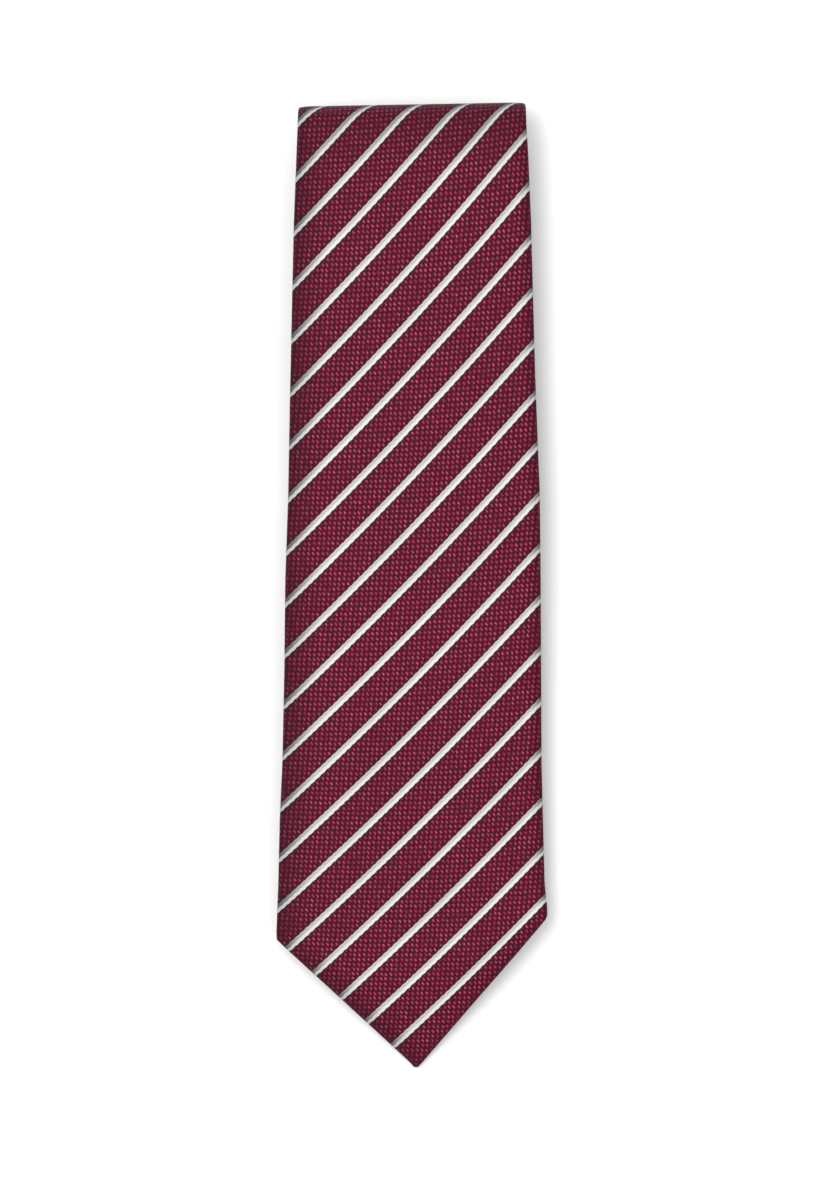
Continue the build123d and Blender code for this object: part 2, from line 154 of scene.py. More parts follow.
# Each step is (length, turn in degrees). A turn to the right has the front side outside.
course_steps = [
    (point_run, 0),
    (DROOP_RADIUS * math.radians(DROOP_ANGLE - slope), slope - DROOP_ANGLE),
    (slope_run, 0),
    (ROLL_RADIUS * math.radians(180 + slope), -180 - slope),
    (roll_y - lower_fold_y, 0),
    (FOLD_INNER * math.pi, 180),
    (upper_fold_y - lower_fold_y, 0),
    (FOLD_OUTER * math.pi, -180),
    (upper_fold_y - neck_fold_y, 0),
    (FOLD_INNER * math.pi, 180),
    (tail_fold_y - neck_fold_y, 0),
    (FOLD_OUTER * math.pi, -180),
    (tail_fold_y - tail_tip_y, 0),
]
course_marks = [0.0]
for step in course_steps:
    course_marks.append(course_marks[-1] + step[0])
POINT_END = course_marks[1]
SLOPE_END, ROLL_END = course_marks[3:5]
SECOND_END, THIRD_START, THIRD_END, FOURTH_START = course_marks[5:9]
FOURTH_END, FIFTH_START, FIFTH_END, TAIL_START, TAIL_END = course_marks[9:14]


def along_course(distance):
    """(Y, Z, heading) of the tie's front side at a distance from the wide point."""
    y, z, heading = tip_y, tip_z, DROOP_ANGLE
    left = distance
    for length, turn in course_steps:
        part = min(left, length)
        if turn:
            radius = length / math.radians(turn)
            before = math.radians(heading)
            swept = math.radians(turn) * part / length
            y += radius * (math.sin(before + swept) - math.sin(before))
            z -= radius * (math.cos(before + swept) - math.cos(before))
            heading += math.degrees(swept)
        else:
            y += part * math.cos(math.radians(heading))
            z += part * math.sin(math.radians(heading))
        left -= part
        if left <= 0:
            break
    return y, z, heading


def lay(x, distance, depth):
    """Point at x across the tie, a distance along it and a depth behind its front side."""
    y, z, heading = along_course(distance)
    turn = math.radians(heading - 90)
    y += depth * math.cos(turn)
    z += depth * math.sin(turn) + blade_shape(x, distance)
    return Vector((x, y + roll_skew(x, y, z), z)) * MM


def ease(value, low, high):
    """Smooth step from 0 at low to 1 at high."""
    share = min(max((value - low) / (high - low), 0), 1)
    return share * share * (3 - 2 * share)


SKEW = 0.018
SKEW_START = 95
SOFT_EDGE_FALL = 1.2
SOFT_EDGE_WIDE = 5.0
POINT_SLANT = 0.3
FLAT_BEFORE_ROLL = 25
CROWN_START = 30
CROWN_FULL = 80
CROWN_TOP = 0.4
CROWN_FALL = 0.72
CROWN_HALF_WIDE = 38
WAVE_HIGH = 0.5
WAVE_ACROSS = 0.018
WAVE_ALONG = 0.014
WAVE_CUT = 3.1


def roll_skew(x, y, z):
    """The roll at the top end lies slightly askew, with its right end further up."""
    return SKEW * x * ease(y, SKEW_START, roll_y) * ease(z, second_level - 0.3, second_level)


def edge_fall(x, distance):
    """How far the blade's soft edges fall away. The point's edges slant, so x counts for less."""
    left, right = edges(distance)
    in_point = ease(distance, POINT_END + 25, POINT_END + 10)
    inward = min(x - left, right - x) * (1 - POINT_SLANT * in_point)
    return SOFT_EDGE_FALL * max(0, 1 - inward / SOFT_EDGE_WIDE) ** 2


def blade_shape(x, distance):
    """Soft swell of the blade: crowned along its middle, easy at its edges, slightly wavy."""
    if distance >= ROLL_END:
        return 0
    fade = 1 - ease(distance, SLOPE_END - FLAT_BEFORE_ROLL, SLOPE_END)
    crown = CROWN_TOP - CROWN_FALL * (x / CROWN_HALF_WIDE) ** 2
    wave = WAVE_HIGH * noise.noise(Vector((x * WAVE_ACROSS, distance * WAVE_ALONG, WAVE_CUT)))
    past_point = ease(distance, CROWN_START, CROWN_FULL)
    return fade * (crown * past_point + wave) - edge_fall(x, distance)


# ---- Jacquard cloth: the shell of the tie ----
# Silk-like cloth woven with raised crimson dots on a dark ground, and narrow two-tone silver
# stripes. It is folded round the wool, and its right flap is slip-stitched over the left one.
# It is three pieces of cloth in the real tie: blade, neck and tail, joined by 45 degree seams.

# Depths are those of the cloth's middle behind the front side of the tie
CLOTH_THICK = 0.35
FRONT_DEPTH = CLOTH_THICK / 2
FLAP_DEPTH = 1.42
LAP_DEPTH = 1.82
LAP_LEFT = -4.0
LAP_RIGHT = 4.0
FLAP_END = 3.7
LAP_RISE_WIDE = 1.6
EDGE_EASE = 3.5
EDGE_DROP = 0.24
TAIL_POINT_LONG = 52

# Edges of the blade as (Y, X), seen from above, and of the rest as (distance, half width)
blade_left = [(tip_y, 0.5), (tip_y + 1.2, -0.5), (-104.3, -39.9), (-102.5, -40), (-87, -39.4)]
blade_left += [(-69, -39.0), (-52, -38.2), (-25, -37.6), (2, -37.3), (28, -36.4), (55, -35.9)]
blade_left += [(82, -35.3), (108, -34.7), (126, -34.0), (136, -33.6)]
blade_right = [(tip_y, 1.9), (tip_y + 1.2, 3.0), (-97.8, 39.9), (-96, 40), (-87, 39.1)]
blade_right += [(-52, 38.2), (2, 37.9), (28, 37.6), (64, 36.2), (108, 35.0), (126, 34.2)]
blade_right += [(136, 33.6)]
hidden_half = [(SLOPE_END, 33.6), (ROLL_END, 33.2), (THIRD_START, 26.4), (FOURTH_START, 19.7)]
hidden_half += [(FOURTH_START + 75, 17.5), (FIFTH_START + 60, 17.5), (TAIL_START, 19.3)]
hidden_half += [(TAIL_END - 21, 21.0), (TAIL_END - 0.8, 0.8), (TAIL_END, 0.4)]

# Inner edges of the flaps behind the points, where the lining shows between them
blade_flap_left = [(tip_y, 1.1), (-122.5, 1.1), (-97, -26), (-57.5, 1.1), (-54, FLAP_END)]
blade_flap_right = [(tip_y, 1.3), (-122.5, 1.3), (-91, 26), (-57.5, 1.3), (-49, LAP_LEFT)]
tail_flap = [(TAIL_END - TAIL_POINT_LONG, -FLAP_END), (TAIL_END - 46, -0.1), (TAIL_END - 17, 12.5)]
tail_flap += [(TAIL_END - 11.3, -0.1), (TAIL_END, -0.1)]


def between(value, stations):
    """Straight-line value between (place, value) stations."""
    if value <= stations[0][0]:
        return stations[0][1]
    for (low, first), (high, second) in zip(stations, stations[1:]):
        if value <= high:
            return first + (second - first) * (value - low) / (high - low)
    return stations[-1][1]


def edges(distance):
    """X of the left and right edge of the tie at a distance from the wide point."""
    if distance < SLOPE_END:
        y = along_course(distance)[0]
        return between(y, blade_left), between(y, blade_right)
    half = between(distance, hidden_half)
    return -half, half


def flap_ends(distance):
    """X where the left flap and the right flap end, at a distance from the wide point."""
    if distance < SLOPE_END:
        y = along_course(distance)[0]
        return between(y, blade_flap_left), between(y, blade_flap_right)
    if distance > TAIL_END - TAIL_POINT_LONG:
        half = between(distance, tail_flap)
        lap_closes = [(-FLAP_END, LAP_LEFT), (-1, -1)]
        lap = half if half > -1 else between(half, lap_closes)
        return -half, lap
    return FLAP_END, LAP_LEFT


# Columns of the folded section: two flaps, two bends, and the front, which has them crowded
# towards its edges
FLAP_COLUMNS = 10
BEND_COLUMNS = 6
FRONT_COLUMNS = 36
CROWDING = 0.65
CLOTH_COLUMNS = 2 * FLAP_COLUMNS + 2 * BEND_COLUMNS + FRONT_COLUMNS


def flap_depth(x, side):
    """Depth of a flap's middle: the right flap steps up where it laps over the left one."""
    if side < 0:
        return FLAP_DEPTH
    return LAP_DEPTH - (LAP_DEPTH - FLAP_DEPTH) * ease(x, LAP_RIGHT, LAP_RIGHT + LAP_RISE_WIDE)


def cloth_section(column, distance):
    """(x, depth, place across the flat cloth) for one column of the folded section."""
    left, right = edges(distance)
    side = -1 if column < CLOTH_COLUMNS / 2 else 1
    edge = left if side < 0 else right
    flap_end = flap_ends(distance)[0 if side < 0 else 1]
    inward = column if side < 0 else CLOTH_COLUMNS - column
    half = max((right - left) / 2, 0.5)
    drop = EDGE_DROP * min(half / EDGE_EASE, 1)
    bend = (FLAP_DEPTH - FRONT_DEPTH - drop) / 2
    bend_x = min(bend, half * 0.6)
    turned = edge - side * bend_x
    if inward <= FLAP_COLUMNS:
        share = inward / FLAP_COLUMNS
        x = flap_end + (turned - flap_end) * share
        return x, flap_depth(x, side), edge + side * (bend * math.pi - bend + abs(turned - x))
    if inward < FLAP_COLUMNS + BEND_COLUMNS:
        angle = math.pi * (inward - FLAP_COLUMNS) / BEND_COLUMNS
        x = turned + side * bend_x * math.sin(angle)
        depth = FLAP_DEPTH - bend + bend * math.cos(angle)
        return x, depth, edge + side * (bend * (math.pi - angle) - bend)
    first, last = left + bend_x, right - bend_x
    share = (column - FLAP_COLUMNS - BEND_COLUMNS) / FRONT_COLUMNS
    share -= CROWDING * math.sin(2 * math.pi * share) / (2 * math.pi)
    x = first + (last - first) * share
    near_edge = max(0, 1 - min(x - left, right - x) / min(EDGE_EASE, half))
    return x, FRONT_DEPTH + drop * near_edge**2, x


# The weave repeats once per stripe. These are the repeats per millimetre along the cloth and
# across it, and where the first stripe lies. The cloth is cut and folded by hand, so its
# stripes bend very slightly along the blade.
STRIPE_UP = 0.06598
STRIPE_ACROSS = -0.06773
STRIPE_START = -0.139
STRIPE_BOW_ALONG = -1.278e-5
STRIPE_TWIST = -1.875e-5
STRIPE_BOW_ACROSS = -4.85e-5


def cloth_place(across, distance):
    """Place on the flat cloth, in metres, of a point across the tie and along it."""
    y = along_course(distance)[0] if distance < SLOPE_END else roll_y + distance - SLOPE_END
    held = min(y, -tip_y)
    bow = STRIPE_BOW_ALONG * held**2 + STRIPE_TWIST * across * held + STRIPE_BOW_ACROSS * across**2
    return across * MM, (y + bow / STRIPE_UP) * MM


# Widths in millimetres of the painted shade along the left and right edges of the cloth
SHADE_LEFT_WIDE = 11.0
SHADE_RIGHT_WIDE = 3.5


def painted_shade(x, distance):
    """Painted shade on the cloth: 1 on the side edges and over the roll, where they turn away from
    the light, 0 on the flat.
    """
    left, right = edges(distance)
    at_left = max(0, 1 - (x - left) / SHADE_LEFT_WIDE) ** 1.5
    at_right = max(0, 1 - (right - x) / SHADE_RIGHT_WIDE) ** 1.5
    onto_roll = ease(distance, SLOPE_END - 16, SLOPE_END + 4)
    round_roll = ease(distance, SLOPE_END + 5, SLOPE_END + 10)
    over_roll = (onto_roll + round_roll) / 2 * ease(distance, ROLL_END + 9, ROLL_END)
    return min(1, max(at_left, at_right, over_roll))


def rows_along(*stretches):
    """Distances of a sheet's rows, from (start, end, step) stretches that follow each other."""
    places = [stretches[0][0]]
    for start, end, step in stretches:
        count = max(1, round((end - start) / step))
        places += [start + (end - start) * (number + 1) / count for number in range(count)]
    return places


SEAM_REACH = 30.0


def slanted(x, distance, seams):
    """Distance moved so that the row at a seam follows the seam's slant across the tie."""
    for place, slant in seams:
        distance += slant * x * max(0, 1 - abs(distance - place) / SEAM_REACH)
    return distance


def sheet_piece(name, columns, rows, section, thickness, material, seams=()):
    """Grid of cloth laid along the tie and given its thickness evenly to both sides."""
    grid = bmesh.new()
    bmesh.ops.create_grid(grid, x_segments=columns, y_segments=len(rows) - 1, size=1)
    flat = grid.loops.layers.uv.new("cloth")
    # Each corner also carries how much painted shade the cloth gets there, on its edges and over
    # the roll
    at_folds = grid.verts.layers.float.new("painted_shade")
    spots = {}
    for vert in grid.verts:
        column = round((vert.co.x + 1) / 2 * columns)
        distance = rows[round((vert.co.y + 1) / 2 * (len(rows) - 1))]
        distance = slanted(section(column, distance)[0], distance, seams)
        x, depth, across = section(column, distance)
        spots[vert] = cloth_place(across, distance)
        vert[at_folds] = painted_shade(x, distance)
        vert.co = lay(x, distance, depth)
    for face in grid.faces:
        face.smooth = True
        for loop in face.loops:
            loop[flat].uv = spots[loop.vert]
    data = bpy.data.meshes.new(name)
    grid.to_mesh(data)
    grid.free()
    piece = bpy.data.objects.new(name, data)
    bpy.context.scene.collection.objects.link(piece)
    data.materials.append(material)
    thicken = piece.modifiers.new("thickness", "SOLIDIFY")
    thicken.thickness = thickness * MM
    thicken.offset = 0
    return piece


def declare(node):
    """Hides the solid part that a piece stands for."""
    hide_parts(node)


class Nodes:
    """Short way to wire a material's nodes together."""

    def __init__(self, name):
        self.material = bpy.data.materials.new(name)
        self.material.use_nodes = True
        self.tree = self.material.node_tree
        self.shader = self.tree.nodes["Principled BSDF"]

    def add(self, kind, links=(), **values):
        """New node with its settings, and its inputs linked or set by name or number."""
        node = self.tree.nodes.new("ShaderNode" + kind)
        for key, value in values.items():
            setattr(node, key, value)
        for key, value in dict(links).items():
            self.put(node.inputs[key], value)
        return node

    def put(self, socket, value):
        """Links a socket to another or gives it a value."""
        if isinstance(value, bpy.types.NodeSocket):
            self.tree.links.new(value, socket)
        else:
            socket.default_value = value

    def math(self, operation, first, second=0.0, third=0.0):
        """One step of arithmetic."""
        links = {0: first, 1: second, 2: third}
        return self.add("Math", links, operation=operation).outputs[0]

    def sum(self, *terms):
        """Sum of (factor, socket) terms and plain numbers."""
        total = 0.0
        for term in terms:
            if isinstance(term, tuple):
                total = self.math("MULTIPLY_ADD", term[1], term[0], total)
            else:
                total = self.math("ADD", total, term)
        return total

    def step(self, value, low, high):
        """Soft step: 0 below low, 1 above high, the other way round if high is lower."""
        links = {"Value": value, "From Min": low, "From Max": high}
        return self.add("MapRange", links, interpolation_type="SMOOTHSTEP").outputs[0]

    def mix(self, share, first, second):
        """Blend of two colours."""
        node = self.add("Mix", {0: share, 6: first, 7: second}, data_type="RGBA")
        return node.outputs[2]

    def scaled(self, colour, light):
        """Colour made lighter or darker."""
        return self.add("VectorMath", {0: colour, "Scale": light}, operation="SCALE").outputs[0]

    def flat_place(self):
        """Place on the flat cloth, as one socket and as its X and Y."""
        place = self.add("UVMap", uv_map="cloth").outputs[0]
        apart = self.add("SeparateXYZ", {0: place}).outputs
        return place, apart[0], apart[1]

    def noise(self, place, scale, detail):
        """Soft irregular value round 0.5 that depends on place."""
        links = {"Vector": place, "Scale": scale, "Detail": detail}
        return self.add("TexNoise", links).outputs[0]

    def bump(self, height, strength, distance):
        """Slight relief of the surface."""
        links = {"Strength": strength, "Distance": distance, "Height": height}
        return self.add("Bump", links).outputs[0]

    def shade(self, **inputs):
        """Sets or links inputs of the surface shader, named with _ for spaces."""
        for name, value in inputs.items():
            self.put(self.shader.inputs[name.replace("_", " ")], value)
        return self.material


# Millimetres from one stripe to the next, square to them. Then the edges of a silver stripe
# and of its two halves, and of the dark line beside it, in millimetres from the stripe's place.
STRIPE_PITCH = 10.58
SILVER_LOW = -0.84
SILVER_SPLIT = 0.02
SILVER_HIGH = 1.06
SILVER_SOFT = 0.08
SCALLOP_DEEP = 0.07
EDGE_FRAY = 0.12
DARK_START = 1.75
DARK_FULL = 1.2

# The dots' lattice: dots per millimetre along one of its directions, and the step in
# millimetres, across and along the cloth, from one dot to the next in each direction
DOTS_PER_STRIPE = 11
DOTS_ACROSS = 0.7189
DOTS_ALONG = -0.0594
STEP_A = (1.395, 0.0524)
STEP_B = (-0.1266, -1.532)
DOT_STRAY = 0.16

# Tilt in degrees, half length and half width of the three kinds of fleck
DOT_FLECK = (118, 0.61, 0.31)
CORE_FLECK = (124, 0.52, 0.20)
SPECK_FLECK = (50, 0.62, 0.25)
THREAD_PITCH = 0.17
FLOAT_RELIEF = 0.00012
GROUND = (0.084, 0.0006, 0.014, 1)
DOT = (0.30, 0.024, 0.076, 1)
DOT_CORE = (0.48, 0.120, 0.185, 1)
SPECK = (0.009, 0.004, 0.006, 1)
SILVER_WHITE = (0.625, 0.597, 0.60, 1)
SILVER_GREY = (0.38, 0.40, 0.38, 1)
SILVER_RIB = (0.48, 0.42, 0.42, 1)
# Dark grey painted on the grey half of the stripes as painted shade
SILVER_GREY_SHADED = (0.085, 0.088, 0.088, 1)


def jacquard():
    """Woven cloth: dots, specks and two-tone silver stripes, with painted shade on edges and roll.
    """
    make = Nodes("burgundy_jacquard")
    cloth, cloth_x, cloth_y = make.flat_place()
    x = make.math("MULTIPLY", cloth_x, 1000)
    y = make.math("MULTIPLY", cloth_y, 1000)
    stripe = make.sum((STRIPE_UP, y), (STRIPE_ACROSS, x), STRIPE_START)
    row_a = make.sum((DOTS_ACROSS, x), (DOTS_ALONG, y))
    row_b = make.sum((-DOTS_PER_STRIPE, stripe), (-1.0, row_a))
    cell = make.add("CombineXYZ", {0: make.math("FLOOR", row_a), 1: make.math("FLOOR", row_b)})
    chance = make.add("TexWhiteNoise", {0: cell.outputs[0]}, noise_dimensions="2D").outputs
    luck = make.add("SeparateColor", {0: chance["Color"]}).outputs
    fray = make.noise(cloth, 2600.0, 2.0)
    # Share of painted shade: 1 on the side edges and over the roll, where the cloth turns away from
    # the light
    at_folds = make.add("Attribute", attribute_name="painted_shade").outputs["Fac"]

    def from_dot(row, stray):
        """Distance from a dot's middle along one lattice direction, in steps of the lattice."""
        return make.sum((1.0, make.math("FRACT", row)), (DOT_STRAY, stray), -0.5 - DOT_STRAY / 2)

    def from_corner(row):
        """Distance from the nearest corner between four dots, in steps of the lattice."""
        return make.math("SUBTRACT", make.math("FRACT", make.sum((1.0, row), 0.5)), 0.5)

    def fleck(along_a, along_b, shape, frayed):
        """Distance from the middle of a long fleck, 1 at its rim, with the rim frayed."""
        tilt, half_long, half_wide = shape
        turn = math.radians(tilt)
        across = make.sum((STEP_A[0], along_a), (STEP_B[0], along_b))
        upward = make.sum((STEP_A[1], along_a), (STEP_B[1], along_b))
        long = make.sum((math.cos(turn) / half_long, across), (math.sin(turn) / half_long, upward))
        wide = make.sum((-math.sin(turn) / half_wide, across), (math.cos(turn) / half_wide, upward))
        long_part = make.math("MULTIPLY", long, long)
        wide_part = make.math("MULTIPLY", wide, wide)
        reach = make.math("SQRT", make.sum((1.0, long_part), (1.0, wide_part)))
        return make.sum((1.0, reach), (frayed, fray), -frayed / 2)

    dot_a = from_dot(row_a, luck[1])
    dot_b = from_dot(row_b, luck[2])
    dot = make.step(fleck(dot_a, dot_b, DOT_FLECK, 1.3), 1.2, 0.5)
    core = make.step(fleck(dot_a, dot_b, CORE_FLECK, 1.6), 1.3, 0.3)
    speck = make.step(fleck(from_corner(row_a), from_corner(row_b), SPECK_FLECK, 1.2), 1.25, 0.5)

    # The silver stripe, with scalloped edges and a dark line of ground on both sides
    away = make.math("SUBTRACT", stripe, make.math("ROUND", stripe))
    wave = make.math("MULTIPLY", make.sum((1.0, row_a), (-1.0, row_b)), math.pi)
    scallop = make.math("SINE", wave)
    frayed_edge = make.sum((EDGE_FRAY, fray), -EDGE_FRAY / 2)
    across = make.sum((STRIPE_PITCH, away), (SCALLOP_DEEP, scallop), (1.0, frayed_edge))
    low_side = make.step(across, SILVER_LOW - SILVER_SOFT, SILVER_LOW + SILVER_SOFT)
    high_side = make.step(across, SILVER_HIGH + SILVER_SOFT, SILVER_HIGH - SILVER_SOFT)
    silver = make.math("MULTIPLY", low_side, high_side)
    grey = make.step(across, SILVER_SPLIT - 0.1, SILVER_SPLIT + 0.16)
    from_middle = make.math("ABSOLUTE", make.sum((1.0, across), -(SILVER_LOW + SILVER_HIGH) / 2))
    dark_line = make.step(from_middle, DARK_START, DARK_FULL)
    rib = make.step(scallop, -0.6, 0.7)
    silver_low = make.mix(rib, SILVER_GREY, SILVER_RIB)
    # The grey half of the stripes is painted darker on the edges and over the roll, as painted
    # shade
    silver_low = make.mix(make.math("MULTIPLY", at_folds, 0.9), silver_low, SILVER_GREY_SHADED)
    silver_colour = make.mix(grey, SILVER_WHITE, silver_low)

    core_share = make.math("MULTIPLY", core, make.sum((0.9, luck[0]), 0.1))
    dot_colour = make.mix(core_share, DOT, DOT_CORE)
    ground = make.mix(make.math("MULTIPLY", speck, 0.92), GROUND, SPECK)
    # Each dot is stronger or weaker at random, and weaker under the painted shade on the edges and
    # the roll
    dot_strength_and_shade = make.sum((0.45, luck[1]), (-0.4, at_folds), 0.5)
    figured = make.mix(make.math("MULTIPLY", dot, dot_strength_and_shade), ground, dot_colour)
    figured = make.mix(make.math("MULTIPLY", dark_line, 0.72), figured, SPECK)
    colour = make.mix(silver, figured, silver_colour)
    # Lighter and darker at random in broad clouds, and darker by painted shade on the edges and
    # over the roll
    light = make.sum((0.30, make.noise(cloth, 28.0, 3.0)), (-0.42, at_folds), 0.86)

    thread_phase = make.math("MULTIPLY", make.sum((1.0, x), (0.9, y)), 2 * math.pi / THREAD_PITCH)
    threads = make.math("SINE", thread_phase)
    figure_height = make.sum((0.7, dot), (-0.5, speck))
    height = make.sum((1.0, figure_height), (0.9, silver), (0.12, threads))
    return make.shade(
        Base_Color=make.scaled(colour, light),
        Roughness=0.58,
        Normal=make.bump(height, 0.6, FLOAT_RELIEF),
        Specular_IOR_Level=0.1,
        Sheen_Weight=0.04,
        Sheen_Roughness=0.4,
        Sheen_Tint=(0.9, 0.6, 0.68, 1),
    )


jacquard_cloth = jacquard()

# Where one length of cloth ends and the next begins: two real seams, and four places in the
# middle of a leaf or on the roll, so that each length bends over one fold only
ROLL_CUT = SLOPE_END + ROLL_RADIUS * math.radians(48)
SECOND_CUT = ROLL_END + 120
THIRD_CUT = THIRD_START + 122
FOURTH_SEAM = FOURTH_START + 32
FIFTH_SEAM = FIFTH_START + 110
TAIL_CUT = TAIL_START + 95
CLOTH_SEAMS = ((FOURTH_SEAM, -1), (FIFTH_SEAM, 1))

# Rows of a fold, in degrees from its middle, closest together where the cloth bends open
CREASE_ANGLES = (1, 2, 3, 4.5, 6.5, 9, 13, 18, 25, 38, 55, 72)
CREASE_NEAR = 3.0
LEAF_STEP = 4.0


def crease_rows(start, end, fold_start, fold_end):
    """Rows of a piece with one fold: wide apart on the leaves, close together round the fold."""
    near_start, near_end = fold_start - CREASE_NEAR, fold_end + CREASE_NEAR
    before = rows_along((start, near_start, LEAF_STEP), (near_start, fold_start, 0.75))
    after = rows_along((fold_end, near_end, 0.75), (near_end, end, LEAF_STEP))
    middle = (fold_start + fold_end) / 2
    half_turn = [angle / 90 * (fold_end - fold_start) / 2 for angle in CREASE_ANGLES]
    at_folds = [middle - reach for reach in reversed(half_turn)] + [middle]
    at_folds += [middle + reach for reach in half_turn]
    return before + at_folds + after


def bend_over(piece):
    """Bakes the piece's placement into its mesh."""
    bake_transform(piece)


def bend_at_crease(piece):
    """Bakes a piece at a crease into its mesh, as bend_over does."""
    bend_over(piece)


def bend_at_roll(piece):
    """Bakes a piece on the roll into its mesh, as bend_over does."""
    bend_over(piece)


point_rows = rows_along(
    (0, 1.2, 0.6), (1.2, POINT_END + 24, 1.2), (POINT_END + 24, SLOPE_END - 4, 2.2)
)
blade_rows = point_rows + rows_along((SLOPE_END - 4, ROLL_CUT, 0.5))[1:]
roll_rows = rows_along(
    (ROLL_CUT, ROLL_END, 0.5), (ROLL_END, ROLL_END + 4, 1), (ROLL_END + 4, SECOND_CUT, LEAF_STEP)
)
lower_rows = crease_rows(SECOND_CUT, THIRD_CUT, SECOND_END, THIRD_START)
upper_rows = crease_rows(THIRD_CUT, FOURTH_SEAM, THIRD_END, FOURTH_START)
neck_rows = crease_rows(FOURTH_SEAM, FIFTH_SEAM, FOURTH_END, FIFTH_START)
tail_rows = crease_rows(FIFTH_SEAM, TAIL_CUT, FIFTH_END, TAIL_START)
tail_point_rows = rows_along((TAIL_CUT, TAIL_END - 56, 3), (TAIL_END - 56, TAIL_END, 1))


def cloth_piece(name, rows, node):
    """One length of the folded cloth shell, lying round a length of the wool."""
    piece = sheet_piece(
        name, CLOTH_COLUMNS, rows, cloth_section, CLOTH_THICK, jacquard_cloth, CLOTH_SEAMS
    )
    declare(node)
    return piece


blade_cloth = cloth_piece(
    "blade_cloth", blade_rows, "blade_shell_front"
)
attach(blade_cloth, "blade_leaf")

roll_cloth = cloth_piece(
    "blade_cloth_roll", roll_rows, "blade_shell_second"
)
bend_at_roll(roll_cloth)

lower_cloth = cloth_piece(
    "blade_cloth_lower_fold",
    lower_rows,
    "blade_shell_third",
)
bend_at_crease(lower_cloth)

upper_cloth = cloth_piece(
    "blade_cloth_upper_fold",
    upper_rows,
    "blade_shell_fourth",
)
bend_at_crease(upper_cloth)

neck_cloth = cloth_piece(
    "neck_cloth", neck_rows, "neck_shell_fourth"
)
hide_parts("neck_shell_fifth")
bend_at_crease(neck_cloth)

tail_cloth = cloth_piece(
    "tail_cloth_fold", tail_rows, "tail_shell_fifth"
)
bend_at_crease(tail_cloth)

tail_point_cloth = cloth_piece(
    "tail_cloth_point", tail_point_rows, "tail_shell_end"
)
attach(tail_point_cloth, "tail_leaf")


# ---- Interlining: the wool inside the tie ----
# A napped wool blend strip, cut on the bias a little narrower than the tie, lies loose between
# the front of the cloth and its flaps. The blade and tail lengths are joined in the neck.

WOOL_THICK = 0.66
WOOL_DEPTH = 0.71
WOOL_INSET = 1.0
WOOL_COLUMNS = 24
WOOL_TIP = 5.0
WOOL_SEAM = FOURTH_START + 114
WOOL_SEAMS = ((WOOL_SEAM, -math.tan(math.radians(20))),)
WOOL_FIFTH_CUT = FIFTH_START + 110
WOOL_COLOUR = (0.74, 0.70, 0.62)


def wool_section(column, distance):
    """(x, depth, place across) for one column of the flat wool strip."""
    left, right = edges(distance)
    inset = min(WOOL_INSET, (right - left) / 4)
    x = left + inset + (right - left - 2 * inset) * column / WOOL_COLUMNS
    return x, WOOL_DEPTH, x


def napped_wool():
    """Cream wool blend with a soft, slightly uneven nap."""
    make = Nodes("cream_wool")
    place = make.flat_place()[0]
    nap = make.noise(place, 1400.0, 5.0)
    light = make.sum((0.25, nap), (0.15, make.noise(place, 60.0, 3.0)), 0.8)
    colour = make.scaled(WOOL_COLOUR, light)
    relief = make.bump(nap, 0.7, 0.0002)
    return make.shade(Base_Color=colour, Roughness=0.95, Normal=relief, Sheen_Weight=0.3)


wool_cloth = napped_wool()


def wool_piece(name, rows, node):
    """One length of the wool strip, lying inside a piece of the cloth."""
    piece = sheet_piece(name, WOOL_COLUMNS, rows, wool_section, WOOL_THICK, wool_cloth, WOOL_SEAMS)
    declare(node)
    return piece


blade_wool_rows = [place for place in blade_rows if place > WOOL_TIP]
blade_wool = wool_piece(
    "blade_wool", blade_wool_rows, "blade_interlining_front"
)
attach(blade_wool, "blade_leaf")

roll_wool = wool_piece(
    "blade_wool_roll", roll_rows, "blade_interlining_second"
)
bend_at_roll(roll_wool)

lower_wool = wool_piece(
    "blade_wool_lower_fold", lower_rows, "blade_interlining_third"
)
bend_at_crease(lower_wool)

upper_wool_rows = crease_rows(THIRD_CUT, WOOL_SEAM, THIRD_END, FOURTH_START)
upper_wool = wool_piece(
    "blade_wool_upper_fold",
    upper_wool_rows,
    "blade_interlining_fourth",
)
bend_at_crease(upper_wool)

neck_wool_rows = crease_rows(WOOL_SEAM, WOOL_FIFTH_CUT, FOURTH_END, FIFTH_START)
neck_wool = wool_piece(
    "tail_wool_neck_fold", neck_wool_rows, "tail_interlining_fourth"
)
bend_at_crease(neck_wool)

tail_wool_rows = crease_rows(WOOL_FIFTH_CUT, TAIL_CUT, FIFTH_END, TAIL_START)
tail_wool = wool_piece(
    "tail_wool_fold", tail_wool_rows, "tail_interlining_fifth"
)
bend_at_crease(tail_wool)

tail_tip_wool_rows = [place for place in tail_point_rows if place < TAIL_END - WOOL_TIP]
tail_point_wool = wool_piece(
    "tail_wool_point", tail_tip_wool_rows, "tail_interlining_end"
)
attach(tail_point_wool, "tail_leaf")


# ---- Tipping: the lining behind both points ----
# Plain burgundy satin, laid over the wool behind each point and tucked under the hems. It shows
# in the diamond between the hems and the lower end of the back seam.

TIPPING_THICK = 0.15
TIPPING_DEPTH = 1.15
TUCK = 3.0
EDGE_CLEAR = 1.0
TIPPING_COLUMNS = 20
LINING_COLOUR = (0.100, 0.006, 0.018)
LINING_ROUGHNESS = 0.42
LINING_THREADS = 0.22


